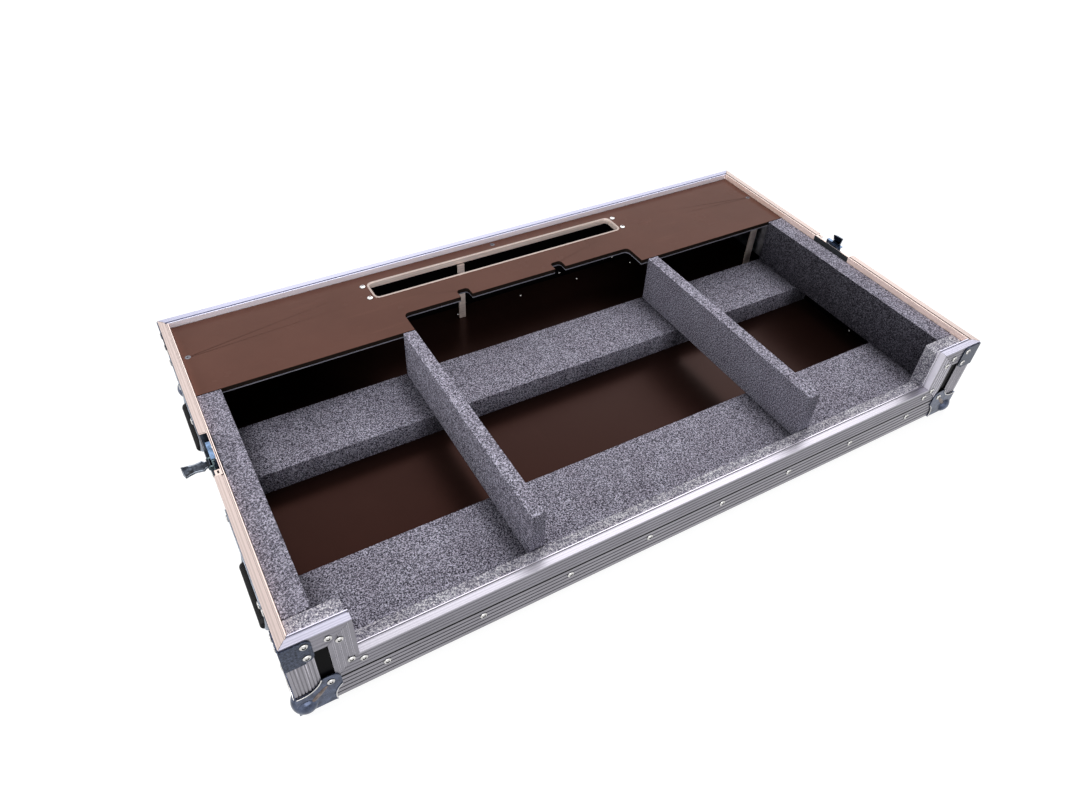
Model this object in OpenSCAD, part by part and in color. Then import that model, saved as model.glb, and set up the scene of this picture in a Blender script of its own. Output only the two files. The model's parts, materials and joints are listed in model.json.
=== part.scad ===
// Flight case base tray for a mixer between two players, with its lid off.
// +X is right, +Y is the rear, +Z is up. The origin is the middle of the
// footprint, on the surface that the ball corners stand on.

/* [Case] */
// Length of the case over its trim
case_l = 1070; // [980:5:1180]
// Depth of the case over its trim
case_w = 598; // [570:2:680]
// Height from the underside of the trim to the rim
case_h = 138; // [136:0.5:160]
// Height from the underside of the trim to the low front rim
low_h = 68.5; // [66:0.5:74]
// Width of each raised front post
post_w = 77; // [74:1:100]
// Thickness of the laminate panels
ply_t = 9; // [8.6:0.1:10]

/* [Trim] */
// Thickness of the trim's skin
skin_t = 1.8; // [1.5:0.1:2]
// Gap between a panel and what is fitted to it
play = 0.3; // [0.2:0.05:0.4]
// Height of the rim's outer leg
rim_leg = 30; // [28:0.5:30]
// Height of the rim's inner leg
rim_lip = 14; // [10:0.5:16]
// Thickness of the rim's inner leg
lip_t = 1.6; // [1.4:0.1:1.8]
// Thickness of the rim's top
rim_web = 3.2; // [2.8:0.1:3.6]
// Width of the groove for the lid's tongue
groove_w = 2.8; // [2:0.1:3.4]
// Depth of the groove for the lid's tongue
groove_d = 1.6; // [1:0.1:2]
// Width of each leg of the bottom trim
edge_leg = 36.5; // [32:0.5:37]
// Width of each leg of the upright corner trim
corner_leg = 31; // [30:0.5:33]
// Flutes along each leg of the rim and of the bottom trim
flutes = 4; // [3:1:6]
// Width of such a flute
flute_w = 1.8; // [1:0.1:2.2]
// Depth of a flute
flute_d = 0.6; // [0.3:0.1:0.8]
// Flutes along each leg of the upright corner trim
corner_flutes = 7; // [4:1:8]
// Width of a corner's flute
corner_flute_w = 1.3; // [0.8:0.1:1.6]
// Gap at a mitre
mitre_gap = 0.2; // [0.1:0.05:0.4]

/* [Rear deck] */
// Drop from the rim to the deck
deck_drop = 8.6; // [8:0.2:12]
// Depth of the deck from the rear rim to its front edge
deck_w = 163.5; // [160:0.5:175]
// Width of the middle cut-out in the deck's front edge
bay_cut_w = 413; // [400:1:440]
// Depth of the middle cut-out
bay_cut_d = 42.8; // [38:0.2:48]
// Width of a cable notch
notch_w = 20; // [16:0.5:24]
// Depth of a cable notch
notch_d = 18.2; // [14:0.2:20]
// Length of the cable slot
slot_l = 458; // [440:1:470]
// Width of the cable slot
slot_w = 42.8; // [38:0.2:46]
// Radius of the slot's corners
slot_r = 8.5; // [6:0.5:12]
// Wall of the slot's liner
liner_t = 1.5; // [1:0.1:2]
// Width of a batten under the deck
batten_w = 15; // [14:0.5:17]
// Height of a batten under the deck
batten_h = 12; // [11:0.5:12]
// Leg of the angle posts under the deck
angle_leg = 15; // [12:0.5:18]
// Thickness of the angle posts
angle_t = 1.5; // [1.2:0.1:2]
// Width of the strip post under the deck
strip_w = 12; // [10:0.5:16]
// Thickness of the strip post
strip_t = 3; // [2:0.5:5]

/* [Foam] */
// Thickness of the divider foams and of the front strip
foam_t = 20; // [16:0.5:22]
// Distance of a side foam's inner face from the outside
side_foam = 46; // [44:0.5:50]
// Depth of a corner foam along the case
corner_foam = 75; // [70:1:76]
// Thickness of a corner foam
corner_foam_t = 25; // [22:0.5:28]
// Distance of the left divider foam from the middle, to its own middle
divider_left_x = 216; // [210:1:222]
// Distance of the right divider foam from the middle, to its own middle
divider_right_x = 229; // [218:1:232]
// Height of the foam bars on the floor
bar_h = 37; // [30:0.5:38]
// Depth of the front bars behind the front strip
front_bar = 112; // [90:1:120]
// Depth of the rear bars
rear_bar = 105; // [90:1:110]
// Distance of the rear bars' front edge from the rear trim
rear_bar_y = 279.5; // [275:0.5:290]

/* [Hardware] */
// Radius of a ball corner
ball_r = 16; // [15:0.5:18]
// How far a ball stands out of the trim
ball_out = 7; // [6:0.5:7.5]
// Depth of the worn flat under each ball
rest_flat = 0.5; // [0.3:0.1:0.8]
// Thickness of the sheet of corners and braces
sheet_t = 1.5; // [1.2:0.1:1.8]
// Diameter of a rivet's head
rivet_d = 9.5; // [8:0.5:10]
// Height of a rivet's head
rivet_h = 1.9; // [1.4:0.1:2.4]
// Width of a handle's dish over its flange
handle_w = 148; // [144:1:152]
// Height of a handle's dish over its flange
handle_h = 104; // [100:1:104]
// Depth of a handle's dish
dish_d = 22; // [20:0.5:23]
// Diameter of a handle's grip
grip_d = 15; // [13:0.5:16]
// Diameter of a handle's wire
wire_d = 6; // [5:0.5:7]
// Width of a latch's opening
latch_w = 77; // [75:1:84]
// Diameter of a latch's drum
drum_d = 22; // [21:0.5:24]
// Throw of a latch's cam off its centre
cam_off = 4; // [3:0.25:4]
// Length of a latch's wing from its pin
wing_l = 33; // [30:0.5:34]
// Width of a latch's wing at its tip
wing_w = 21.5; // [19:0.5:24]

/* [Hidden] */

// Half sizes over the trim
hx = case_l / 2;
hy = case_w / 2;
// Rise of the trim's underside above the surface it stands on
lift = ball_out - rest_flat;
// Distances in from the outside of the trim
panel_out = skin_t + play;
panel_in = panel_out + ply_t;
rim_w = panel_in + play + lip_t;
// Overrun of a cut past a face
over = 1;
// Fine and plain roundness
fine = 96;
plain = 48;

// Floor and wall levels above the trim's underside
floor_top = panel_in;
wall_top = case_h - rim_web - play;
low_wall_top = low_h - rim_web - play;
// Front posts
post_x = hx - post_w;
post_wall_x = post_x + rim_web + play;
// Deck levels
deck_top = case_h - deck_drop;
deck_low = deck_top - ply_t;
deck_gap = 0.5;
deck_x = hx - rim_w - deck_gap;
deck_rear = hy - rim_w - deck_gap;
deck_front = deck_rear - deck_w;
// Flute spacing
flute_pitch = rim_leg / (flutes + 1);

// Slot: its middle in from the deck's rear edge, and its rivets
slot_in = 43.7;
slot_y = deck_rear - slot_in;
slot_rivet_out = 8;
slot_rivet_in = 5;
liner_gap = 0.2;
flange_over = 1.4;
flange_t = 0.8;
// Cable notches: places of their middles, and their depth from the cut-out
notch_x = [-100, 72];
cut_r = 8.5;
notch_r = 6;

// Screws through the deck: side ones and the rear one
screw_inset = 7.9;
screw_rear_inset = 8.5;
screw_in = 77.9;
screw_y = deck_rear - screw_in;
screw_rear_x = 3;
screw_r = 2;
screw_head_r = 4;
screw_head_h = 2;
screw_long = 18;
screw_gap = 0.1;
cross_l = 4.4;
cross_w = 0.9;
cross_d = 1.2;
// Side battens: how far they start behind the deck's front edge
batten_back = 20;
// Posts under the deck: in from the sides, and in from the deck's front or rear edge
angle_in = 35;
angle_back = 44.5;
angle_x = hx - angle_in;
angle_y = deck_front + angle_back;
strip_x = -66;
strip_in = 27;
strip_y = deck_rear - strip_in;

// Foam levels and places
foam_gap = 0.3;
foam_top = deck_top;
foam_out = rim_w + foam_gap;
foam_r = 6;
strip_under = 4.5;
strip_top = low_h - strip_under;
front_strip_rear = -hy + panel_in + foam_t;
corner_foam_rear = -hy + rim_w + corner_foam_t;
bar_top = floor_top + bar_h;
rear_bar_front = hy - rear_bar_y;

// Handle: the dish lies between the bottom trim and the rim, with a margin to each
handle_z = (edge_leg + case_h - rim_leg) / 2;
dish_margin = 1.5;
dish_low = edge_leg + dish_margin;
dish_high = case_h - rim_leg - dish_margin;
dish_wall = 1.2;
dish_rim = 15;
dish_half = handle_w / 2 - dish_rim;
dish_back = dish_d - sheet_t;
// The grip: how far its ends lie in from the dish's end walls, and its length
grip_in = 12;
grip_l = 2 * (dish_half - grip_in);
pivot_under = 12.5;
grip_over = 9.5;
pivot_z = dish_high - pivot_under;
grip_z = dish_low + grip_over;
pivot_in = 5;
grip_out = 1.3;
wire_fit = 0.05;
arm_gap = 0.6;
bend_gap = 0.3;
boss_l = 3;
boss_r = 6;
spring_wall = 1;
handle_rivet_in = 8;
arm_y = grip_l / 2 + arm_gap + wire_d / 2;
grip_end_r = 2;

// Latch: heights from the rim, and distances in from the outside of the trim
latch_under = 17;
latch_deep = 39;
latch_rim_gap = 0.5;
latch_z = case_h - latch_under;
latch_low = latch_z - latch_deep;
latch_back = 9.5;
latch_wall = 1.2;
latch_flange = 10;
latch_top = case_h - latch_rim_gap;
drum_in = 7;
drum_face = 3.8;
hook_in = 9.2;
hook_t = 1.6;
cam_r = 2 * cam_off;
// Most that a cam's height runs ahead of an even travel, over its throw
cam_lag_share = 0.21;
cam_lag = cam_lag_share * cam_off;
fit_gap = 0.3;
pivot_r = 3;
pivot_fit = 0.05;
pivot_head_r = 4.4;
pivot_head_t = 0.8;
// How far the head's seat lies under the drum's face
head_sink = 1;
// How far the fold pin lies inside the trim's outside
fold_in = 0.6;
hook_half = 16;
hook_drop = 14;
hook_rise = 22;
hook_lip = 4;
guide_w = 2;
ear_in = 6.3;
ear_t = 2.5;
ear_r = 3;
pin_r = 1.5;
pin_fit = 0.08;
pin_out = 0.6;
knuckle_r = 2.9;
wing_t = 2.2;
wing_neck = 6;
neck_over = 2;
neck_l = ear_r + neck_over;
// Wing outline: half widths at the shoulder, the waist and the lower tip, and how far
// along the waist and the upper tip lie
shoulder_share = 0.42;
waist_share = 0.34;
low_tip_share = 0.44;
waist_at_share = 0.55;
tip_at_share = 0.92;
tab_l = 8.5;
tab_slot_l = 5;
tab_slot_w = 2.4;

// Corner hardware: leaf and brace outlines, in from the corner's two edges
leaf_end = 52;
leaf_mid = 40;
leaf_tip_r = leaf_end - leaf_mid;
leaf_notch_r = 26;
// Middles of the deep waist beside the upright edge and of the shallow one at the bottom
leaf_waist = [6, 59];
leaf_foot = [68, 6];
leaf_lip = 1.6;
leaf_lip_h = 0.5;
brace_under = 3;
brace_h = 40;
brace_high = case_h - brace_under;
brace_low = brace_high - brace_h;
brace_in = 22;
brace_rivet_in = 24;
brace_rivet_under = [32.4, 10.8];
brace_rivet_z = [for (under = brace_rivet_under) case_h - under];
brace_lobe_r = 8;

// Handles: between the latch's flange and the ball corner's leaf, nearer the leaf
handle_room = hy - leaf_end - latch_w / 2 - latch_flange - handle_w;
handle_room_share = 0.683;
handle_y = latch_w / 2 + latch_flange + handle_room_share * handle_room + handle_w / 2;

// Rivet rows: how many along a side, and how far in from its ends
rivet_z = 25.7;
row_count = 8;
row_in = 105;
// Rivets round a front post: in from its inner edge, and under the rim above them
post_rivet_under = [[27.9, 16.8], [17.1, 27.4]];
low_rivet_under = [[9.9, 5.1], [-3.5, 13.6]];

module up() translate([0, 0, lift]) children();
module both_x() {
    children();
    mirror([1, 0, 0]) children();
}
module both_y() {
    children();
    mirror([0, 1, 0]) children();
}
module box(low, high) translate(low) cube(high - low);
module at_z(z) translate([0, 0, z]) children();

// A rectangle with round corners, from squares and circles alone
module round_rect(l, w, r) {
    square([l - 2 * r, w], center = true);
    square([l, w - 2 * r], center = true);
    for (x = [-1, 1], y = [-1, 1])
        translate([x * (l / 2 - r), y * (w / 2 - r)]) circle(r, $fn = plain);
}

// Trim sections: outward is zero across, the top is zero up
module leg_flutes(pitch, count, wide) {
    for (i = [1 : count])
        translate([-flute_d, -i * pitch - wide / 2]) square([flute_d + over, wide]);
}
module rim_section() {
    difference() {
        union() {
            translate([-skin_t, -rim_leg]) square([skin_t, rim_leg]);
            translate([-rim_w, -rim_lip]) square([lip_t, rim_lip]);
            translate([-rim_w, -rim_web]) square([rim_w, rim_web]);
        }
        translate([lip_t - rim_w, -groove_d]) square([groove_w, groove_d + over]);
        leg_flutes(flute_pitch, flutes, flute_w);
    }
}
module edge_section() {
    difference() {
        union() {
            translate([-skin_t, 0]) square([skin_t, edge_leg]);
            translate([-edge_leg, 0]) square([edge_leg, skin_t]);
        }
        translate([0, edge_leg]) leg_flutes(edge_leg / (flutes + 1), flutes, flute_w);
    }
}
module corner_section() {
    pitch = corner_leg / (corner_flutes + 1);
    difference() {
        translate([-corner_leg, -corner_leg]) square(corner_leg);
        translate([-corner_leg - over, -corner_leg - over])
            square(corner_leg - skin_t + over);
        leg_flutes(pitch, corner_flutes, corner_flute_w);
        mirror([1, -1]) leg_flutes(pitch, corner_flutes, corner_flute_w);
    }
}

// A bar along X with its outside at the rear trim face, and one along Y at the right
module rear_bar_of(l) translate([0, hy, 0]) rotate([90, 0, 90])
    linear_extrude(l, center = true) children();
module right_bar_of(l) translate([hx, 0, 0]) rotate([90, 0, 0])
    linear_extrude(l, center = true) children();

// Plan prisms that leave half of each mitre
module rear_mitre() {
    deep = edge_leg + over;
    linear_extrude(2 * case_h, center = true) polygon([
        [-hx + mitre_gap - over, hy + over], [hx - mitre_gap + over, hy + over],
        [hx - mitre_gap - deep, hy - deep], [-hx + mitre_gap + deep, hy - deep]]);
}
module right_mitre() {
    deep = edge_leg + over;
    linear_extrude(2 * case_h, center = true) polygon([
        [hx + over, -hy + mitre_gap - over], [hx + over, hy - mitre_gap + over],
        [hx - deep, hy - mitre_gap - deep], [hx - deep, -hy + mitre_gap + deep]]);
}
// A prism through the front wall from an outline in X and Z
module front_prism() translate([0, -hy + rim_w + over, 0]) rotate([90, 0, 0])
    linear_extrude(rim_w + 2 * over) children();

// Panels
module floor_panel() color("#4a3a34") up()
    box([-hx + panel_in, -hy + panel_in, panel_out], [hx - panel_in, hy - panel_in, floor_top]);

module handle_cut() {
    gap = dish_wall + play;
    for (s = [-1, 1])
        box([hx - panel_in - over, s * handle_y - dish_half - gap, dish_low - gap],
            [hx + over, s * handle_y + dish_half + gap, dish_high + gap]);
}
module latch_cut(from_x) {
    gap = latch_wall + play;
    box([from_x, -latch_w / 2 - gap, latch_low - gap],
        [hx + over, latch_w / 2 + gap, case_h + over]);
}
module side_wall() difference() {
    box([hx - panel_in, -hy + panel_out, panel_out], [hx - panel_out, hy - panel_out, wall_top]);
    handle_cut();
    latch_cut(hx - panel_in - over);
}
module right_wall() color("#3a2d28") up() side_wall();
module left_wall() color("#3a2d28") up() rotate([0, 0, 180]) side_wall();
module rear_wall() color("#3a2d28") up()
    box([-hx + panel_in, hy - panel_in, panel_out], [hx - panel_in, hy - panel_out, wall_top]);
module front_wall() color("#3a2d28") up()
    translate([0, -hy + panel_in, 0]) rotate([90, 0, 0]) linear_extrude(ply_t) difference() {
        translate([-hx + panel_in, panel_out])
            square([2 * (hx - panel_in), wall_top - panel_out]);
        translate([-post_wall_x, low_wall_top])
            square([2 * post_wall_x, wall_top - low_wall_top + over]);
    }

// Rear deck and what carries it
module slot_outline(grow) translate([0, slot_y])
    round_rect(slot_l + 2 * grow, slot_w + 2 * grow, slot_r + grow);
module front_cut() {
    r = cut_r;
    half = bay_cut_w / 2;
    rear = deck_front + bay_cut_d;
    translate([-half, deck_front - over]) square([bay_cut_w, bay_cut_d + over - r]);
    translate([-half + r, deck_front - over]) square([bay_cut_w - 2 * r, bay_cut_d + over]);
    for (s = [-1, 1]) translate([s * (half - r), rear - r]) circle(r, $fn = plain);
    for (x = notch_x) translate([x, rear - over]) {
        translate([-notch_w / 2, 0]) square([notch_w, notch_d + over - notch_r]);
        translate([0, notch_d + over - notch_r]) {
            square([notch_w - 2 * notch_r, 2 * notch_r], center = true);
            for (s = [-1, 1]) translate([s * (notch_w / 2 - notch_r), 0])
                circle(notch_r, $fn = plain);
        }
    }
}
module screw_places() {
    for (s = [-1, 1]) translate([s * (deck_x - screw_inset), screw_y, deck_top]) children();
    translate([screw_rear_x, deck_rear - screw_rear_inset, deck_top]) children();
}
module screw_body(gap) {
    at_z(-screw_long - gap) cylinder(screw_long, screw_r + gap, screw_r + gap, $fn = plain);
    at_z(-screw_head_h) cylinder(screw_head_h, screw_r + gap, screw_head_r + gap, $fn = plain);
}
module rear_deck() color("#6d5047") up() difference() {
    at_z(deck_low) linear_extrude(ply_t) difference() {
        translate([-deck_x, deck_front]) square([2 * deck_x, deck_w]);
        front_cut();
        slot_outline(0);
    }
    screw_places() screw_body(screw_gap);
}
module deck_battens() color("#2d2522") up() difference() {
    union() {
        both_x() box([hx - panel_in - batten_w, deck_front + batten_back, deck_low - batten_h],
            [hx - panel_in, hy - panel_in, deck_low]);
        box([-hx + panel_in + batten_w + play, hy - panel_in - batten_w, deck_low - batten_h],
            [hx - panel_in - batten_w - play, hy - panel_in, deck_low]);
    }
    screw_places() screw_body(screw_gap);
}
module deck_screws() color("#77736f") up() screw_places() difference() {
    screw_body(0);
    for (a = [0, 90]) rotate(a)
        translate([-cross_l / 2, -cross_w / 2, -cross_d]) cube([cross_l, cross_w, cross_d + over]);
}
module deck_post() color("#cfc4bc") up()
    box([strip_x - strip_w / 2, strip_y - strip_t / 2, floor_top],
        [strip_x + strip_w / 2, strip_y + strip_t / 2, deck_low]);
module deck_angles() color("#c9c6c2") up() both_x()
    translate([angle_x, angle_y, floor_top]) linear_extrude(deck_low - floor_top)
        translate([-angle_leg / 2, -angle_leg / 2]) {
            square([angle_leg, angle_t]);
            translate([angle_leg - angle_t, 0]) square([angle_t, angle_leg]);
        }
module slot_liner() color("#d8c6bf") up() {
    at_z(deck_low) linear_extrude(ply_t) difference() {
        slot_outline(-liner_gap);
        slot_outline(-liner_gap - liner_t);
    }
    at_z(deck_top) linear_extrude(flange_t) difference() {
        slot_outline(flange_over);
        slot_outline(-liner_gap - liner_t);
    }
}

// Rivets: a domed head that lies on its face
module rivet_head() {
    r = rivet_d / 2;
    dome_r = (r * r + rivet_h * rivet_h) / (2 * rivet_h);
    intersection() {
        at_z(rivet_h - dome_r) sphere(dome_r, $fn = plain);
        cylinder(2 * rivet_h, r, r, $fn = plain);
    }
}
module slot_rivets() color("#e0dcd8") up() both_x()
    for (s = [-1, 1])
        translate([slot_l / 2 + slot_rivet_out, slot_y + s * (slot_w / 2 - slot_rivet_in), deck_top])
            rivet_head();
module front_rivet(x, z, out) translate([x, -hy - out, z]) rotate([90, 0, 0]) rivet_head();
module right_rivet(y, z, out) translate([hx + out, y, z]) rotate([0, 90, 0]) rivet_head();
function row(count, half) = [for (i = [0 : count - 1]) (2 * i / (count - 1) - 1) * half];
module corner_front_rivets() {
    for (z = brace_rivet_z) front_rivet(hx - brace_rivet_in, z, sheet_t);
    front_rivet(hx - leaf_mid, leaf_mid, sheet_t);
}
module corner_side_rivets() both_y() {
    for (z = brace_rivet_z) right_rivet(hy - brace_rivet_in, z, sheet_t);
    right_rivet(hy - leaf_mid, leaf_mid, sheet_t);
}
module front_rivets() color("#e0dcd8") up() {
    for (x = row(row_count, hx - row_in)) front_rivet(x, rivet_z, 0);
    both_x() {
        corner_front_rivets();
        for (p = post_rivet_under) front_rivet(post_x + p[0], case_h - p[1], 0);
        for (p = low_rivet_under) front_rivet(post_x + p[0], low_h - p[1], 0);
    }
}
module rear_rivets() color("#e0dcd8") up() mirror([0, 1, 0]) {
    for (x = row(row_count, hx - row_in)) {
        front_rivet(x, rivet_z, 0);
        front_rivet(x, case_h - rim_leg / 2, 0);
    }
    both_x() corner_front_rivets();
}
module side_rivets() {
    corner_side_rivets();
    both_y() {
        right_rivet(handle_y + handle_w / 2 + handle_rivet_in, case_h - rim_leg / 2, 0);
        right_rivet(handle_y - handle_w / 2 - handle_rivet_in, rivet_z, 0);
        right_rivet(handle_y + handle_w / 2 + handle_rivet_in, rivet_z, 0);
        for (y = [-1, 1], z = [-1, 1])
            right_rivet(handle_y + y * (handle_w / 2 - handle_rivet_in),
                handle_z + z * (handle_h / 2 - handle_rivet_in), sheet_t);
    }
}
module right_rivets() color("#e0dcd8") up() side_rivets();
module left_rivets() color("#e0dcd8") up() rotate([0, 0, 180]) side_rivets();

// Bottom and corner trim, cut round the ball corners
module ball_places() both_x() both_y()
    translate([hx + ball_out - ball_r, hy + ball_out - ball_r, ball_r - ball_out]) children();
// What the ball's shell takes off the very corner
module corner_tip() difference() {
    translate([0, 0, -ball_r]) cube(ball_r);
    sphere(ball_r - sheet_t, $fn = fine);
}
module bottom_edge_rear() color("#aeb2b8") up() difference() {
    intersection() {
        rear_bar_of(case_l) edge_section();
        rear_mitre();
    }
    ball_places() corner_tip();
}
module bottom_edge_front() color("#aeb2b8") up() mirror([0, 1, 0]) difference() {
    intersection() {
        rear_bar_of(case_l) edge_section();
        rear_mitre();
    }
    ball_places() corner_tip();
}
module side_edge() difference() {
    intersection() {
        right_bar_of(case_w) edge_section();
        right_mitre();
    }
    ball_places() corner_tip();
}
module bottom_edge_right() color("#aeb2b8") up() side_edge();
module bottom_edge_left() color("#aeb2b8") up() mirror([1, 0, 0]) side_edge();
module corner_edges() color("#aeb2b8") up() both_x() both_y()
    translate([hx, hy, edge_leg + play])
        linear_extrude(case_h - rim_leg - edge_leg - 2 * play) corner_section();

// Rim
module rim_rear() color("#d9c9c2") up() intersection() {
    at_z(case_h) rear_bar_of(case_l) rim_section();
    rear_mitre();
}
module side_rim() difference() {
    intersection() {
        at_z(case_h) right_bar_of(case_w) rim_section();
        right_mitre();
    }
    latch_cut(hx - rim_w + lip_t);
}
module rim_right() color("#d9c9c2") up() side_rim();
module rim_left() color("#d9c9c2") up() mirror([1, 0, 0]) side_rim();
module rim_front() color("#c8cbd6") up() intersection() {
    at_z(low_h) mirror([0, 1, 0]) rear_bar_of(case_l) rim_section();
    front_prism() polygon([
        [-post_x + over + mitre_gap, low_h + over], [post_x - over - mitre_gap, low_h + over],
        [post_x + rim_leg + over - mitre_gap, low_h - rim_leg - over],
        [-post_x - rim_leg - over + mitre_gap, low_h - rim_leg - over]]);
}
// The rim over a front post, and down the post's inner edge
module post_top_rim() intersection() {
    at_z(case_h) mirror([0, 1, 0]) rear_bar_of(case_l) rim_section();
    mirror([0, 1, 0]) rear_mitre();
    front_prism() polygon([
        [hx + over, case_h + over], [post_x - over + mitre_gap, case_h + over],
        [post_x + rim_leg + over + mitre_gap, case_h - rim_leg - over],
        [hx + over, case_h - rim_leg - over]]);
}
module post_side_rim() intersection() {
    translate([post_x, -hy, 0]) rotate([0, 0, -90]) mirror([0, 1, 0])
        linear_extrude(2 * case_h, center = true) rim_section();
    front_prism() polygon([
        [post_x - over, low_h + over + mitre_gap], [post_x - over, case_h + over - mitre_gap],
        [post_x + rim_leg + over, case_h - rim_leg - over - mitre_gap],
        [post_x + rim_leg + over, low_h - rim_leg - over + mitre_gap]]);
}
module rim_post_right() color("#d5d3da") up() {
    post_top_rim();
    post_side_rim();
}
module rim_post_left() color("#d5d3da") up() mirror([1, 0, 0]) {
    post_top_rim();
    post_side_rim();
}

// Corner hardware
module leaf_outline(waist) difference() {
    union() {
        translate([-sheet_t, -sheet_t]) square([leaf_mid + sheet_t, leaf_end + sheet_t]);
        translate([-sheet_t, -sheet_t]) square([leaf_end + sheet_t, leaf_mid + sheet_t]);
        translate([leaf_mid, leaf_mid]) circle(leaf_tip_r, $fn = plain);
    }
    leaf_notches(waist, 0);
}
module leaf_notches(waist, grow) {
    translate(waist) circle(leaf_notch_r + grow, $fn = plain);
    translate(leaf_foot) circle(leaf_notch_r + grow, $fn = plain);
}
module leaf(waist) {
    linear_extrude(sheet_t) leaf_outline(waist);
    linear_extrude(sheet_t + leaf_lip_h) intersection() {
        leaf_outline(waist);
        leaf_notches(waist, leaf_lip);
    }
}
// One corner, its case corner at zero and the case towards -X, -Y and +Z
module ball_corner() {
    inset = ball_r - ball_out;
    difference() {
        translate([-inset, -inset, inset]) sphere(ball_r, $fn = fine);
        difference() {
            translate([-2 * ball_r, -2 * ball_r, 0]) cube(2 * ball_r);
            translate([-inset, -inset, inset]) corner_tip();
        }
        translate([-2 * ball_r, -2 * ball_r, -3 * ball_r - lift]) cube([4 * ball_r, 4 * ball_r, 3 * ball_r]);
    }
    mirror([1, 0, 0]) rotate([90, 0, 0]) leaf_at_face();
    rotate([0, 0, -90]) rotate([90, 0, 0]) leaf_at_face();
    mirror([0, 0, 1]) mirror([1, 0, 0]) mirror([0, 1, 0]) leaf([leaf_foot[1], leaf_foot[0]]);
}
// A leaf that stands on the face behind it
module leaf_at_face() mirror([0, 0, 1]) leaf(leaf_waist);
module ball_corners() color("#8d97a1") up() both_x() both_y()
    translate([hx, hy, 0]) ball_corner();

module brace_face() {
    translate([-sheet_t, brace_low]) square([brace_in + sheet_t, brace_high - brace_low]);
    for (z = brace_rivet_z) translate([brace_rivet_in, z]) circle(brace_lobe_r, $fn = plain);
    translate([0, brace_rivet_z[0]])
        square([brace_rivet_in + brace_lobe_r, brace_rivet_z[1] - brace_rivet_z[0]]);
}
module corner_braces() color("#5d6468") up() both_x() both_y() translate([hx, hy, 0]) {
    mirror([1, 0, 0]) rotate([90, 0, 0]) mirror([0, 0, 1]) linear_extrude(sheet_t) brace_face();
    rotate([0, 0, -90]) rotate([90, 0, 0]) mirror([0, 0, 1]) linear_extrude(sheet_t) brace_face();
}

// Foam: the side foams and the dividers stand on two bars that cross the floor
module dish_room() {
    room = dish_wall + foam_gap;
    for (s = [-1, 1])
        box([hx - dish_back - room, s * handle_y - dish_half - room, dish_low - room],
            [hx, s * handle_y + dish_half + room, dish_high + room]);
}
module side_foam() difference() {
    box([hx - side_foam, corner_foam_rear, bar_top], [hx - foam_out, deck_front - foam_gap, foam_top]);
    dish_room();
}
module side_foam_right() color("#55535a") up() side_foam();
module side_foam_left() color("#55535a") up() mirror([1, 0, 0]) side_foam();
module corner_foam_block() {
    low_x = hx - corner_foam;
    at_z(floor_top) linear_extrude(foam_top - floor_top) {
        translate([low_x, -hy + foam_out])
            square([corner_foam - foam_out, corner_foam_t - foam_gap - foam_r]);
        translate([low_x + foam_r, -hy + foam_out])
            square([corner_foam - foam_out - foam_r, corner_foam_t - foam_gap]);
        translate([low_x + foam_r, corner_foam_rear - foam_r]) circle(foam_r, $fn = plain);
    }
}
module corner_foam_right() color("#55535a") up() corner_foam_block();
module corner_foam_left() color("#55535a") up() mirror([1, 0, 0]) corner_foam_block();
module front_foam_strip() color("#55535a") up()
    box([-hx + corner_foam + foam_gap, -hy + foam_out, floor_top],
        [hx - corner_foam - foam_gap, front_strip_rear, strip_top]);
module floor_bar(front, rear) difference() {
    box([-hx + panel_in + foam_gap, front, floor_top], [hx - panel_in - foam_gap, rear, bar_top]);
    both_x() dish_room();
}
module front_bar_foam() color("#5b5960") up() difference() {
    floor_bar(front_strip_rear + foam_gap, front_strip_rear + front_bar);
    both_x() box([hx - corner_foam - foam_gap, -hy, 0],
        [hx, corner_foam_rear + foam_gap, case_h]);
}
module rear_bar_foam() color("#5b5960") up() floor_bar(rear_bar_front, rear_bar_front + rear_bar);
module divider_foam(x) box([x - foam_t / 2, front_strip_rear + foam_gap, bar_top],
    [x + foam_t / 2, deck_front - foam_gap, foam_top]);
module divider_foam_right() color("#55535a") up() divider_foam(divider_right_x);
module divider_foam_left() color("#55535a") up() divider_foam(-divider_left_x);

// Handles, written for the right side at the middle of the wall
module dish() {
    wall_y = dish_half + dish_wall;
    low = dish_low - dish_wall;
    high = dish_high + dish_wall;
    difference() {
        union() {
            box([hx - dish_back - dish_wall, -wall_y, low], [hx, wall_y, high]);
            box([hx, -handle_w / 2, handle_z - handle_h / 2],
                [hx + sheet_t, handle_w / 2, handle_z + handle_h / 2]);
        }
        box([hx - dish_back, -dish_half, dish_low], [hx + sheet_t + over, dish_half, dish_high]);
        pivot_line(2 * handle_w, wire_d / 2 + wire_fit);
    }
    difference() {
        for (s = [-1, 1]) translate([hx - pivot_in, s * (dish_half - boss_l / 2), pivot_z])
            rotate([90, 0, 0]) cylinder(boss_l, boss_r, boss_r, center = true, $fn = plain);
        pivot_line(2 * handle_w, wire_d / 2 + wire_fit);
    }
}
module pivot_line(l, r) translate([hx - pivot_in, 0, pivot_z]) rotate([90, 0, 0])
    cylinder(l, r, r, center = true, $fn = plain);
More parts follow.
